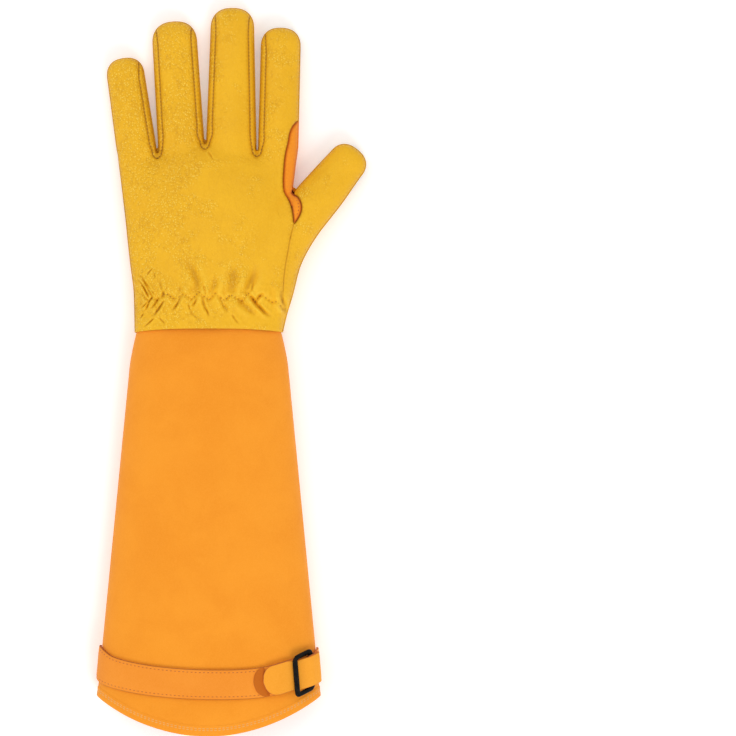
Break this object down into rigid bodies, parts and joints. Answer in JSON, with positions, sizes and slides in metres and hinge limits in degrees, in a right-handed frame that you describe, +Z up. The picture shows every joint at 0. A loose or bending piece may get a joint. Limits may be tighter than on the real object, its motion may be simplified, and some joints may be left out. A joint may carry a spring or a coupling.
{
  "type": "rose pruning gauntlet",
  "caption": "Long left-hand pruning gauntlet, yellow leather hand with orange palm patches and fingertips, black touch tips, flared orange cuff and buckled strap.",
  "frame": {"origin": "on the surface that the glove lies on, under the middle of its overall box", "axes": "+X to the thumb side, +Y from the cuff to the fingertips, +Z up out of the back of the hand"},
  "size_m": [0.1796, 0.4792, 0.0442],
  "materials": {
    "back_leather": "smooth grain leather, golden yellow, soft sheen",
    "palm_leather": "coarse grain leather, golden yellow, satin",
    "orange_leather": "napped split leather, orange, matt",
    "cuff_canvas": "brushed forearm cloth with a leather feel, orange, matt",
    "strap_leather": "split leather strap with stitched edges, orange, matt",
    "black_leather": "coated pebbled leather, near black, slight gloss",
    "black_metal": "painted steel, black, glossy"
  },
  "bodies": {
    "root": {"back_panel": "back_leather", "palm_panel": "palm_leather", "fourchette_pinky_ring": "back_leather", "fourchette_ring_middle": "back_leather", "fourchette_middle_index": "back_leather", "thumb_panel": "back_leather", "web_patch": "orange_leather", "pinky_cap": "orange_leather", "ring_cap": "orange_leather", "middle_cap": "orange_leather", "index_touch_tip": "black_leather", "thumb_touch_tip": "black_leather", "palm_patch": "orange_leather", "heel_patch": "orange_leather", "cuff_back": "cuff_canvas", "cuff_palm": "cuff_canvas", "strap_band": "strap_leather", "strap_tail": "strap_leather", "buckle": "black_metal"}
  },
  "joints": []
}
